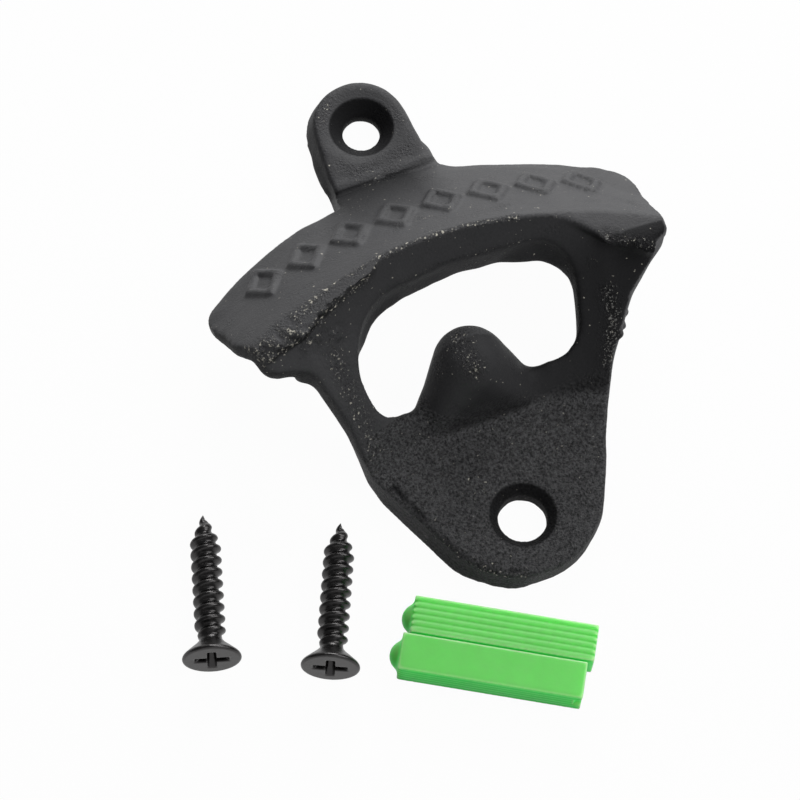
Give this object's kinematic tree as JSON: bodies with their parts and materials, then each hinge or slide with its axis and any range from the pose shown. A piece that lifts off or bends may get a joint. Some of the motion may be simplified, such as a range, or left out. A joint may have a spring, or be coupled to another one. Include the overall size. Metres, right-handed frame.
{
  "type": "wall-mounted bottle opener",
  "caption": "Cast-iron bottle opener for a wall: sloping hood with a lozenge border, arched mouth with a tooth, holes above and below, with its screws and wall plugs.",
  "frame": {"origin": "centre of the lower screw hole, on the flat back face that meets the wall", "axes": "+X to the right, +Y up the wall towards the upper lug, +Z out of the wall; the loose pieces lie on the plane z = 0"},
  "size_m": [0.082, 0.0987, 0.022],
  "materials": {
    "iron": "matte black, rough sand-cast",
    "screw": "bright dark nickel plate",
    "plug": "satin moulded"
  },
  "bodies": {
    "casting": {"opener_casting": "iron"},
    "left_screw": {"screw_left": "screw"},
    "right_screw": {"screw_right": "screw"},
    "front_plug": {"wall_plug_front": "plug"},
    "rear_plug": {"wall_plug_rear": "plug"}
  },
  "joints": [
    {"name": "left_screw_lift", "type": "slide", "parent": "casting", "child": "left_screw", "axis": [0, 0, 1], "range_m": [0, 0.04]},
    {"name": "right_screw_lift", "type": "slide", "parent": "casting", "child": "right_screw", "axis": [0, 0, 1], "range_m": [0, 0.04]},
    {"name": "front_plug_lift", "type": "slide", "parent": "casting", "child": "front_plug", "axis": [0, 0, 1], "range_m": [0, 0.04]},
    {"name": "rear_plug_lift", "type": "slide", "parent": "casting", "child": "rear_plug", "axis": [0, 0, 1], "range_m": [0, 0.04]}
  ]
}
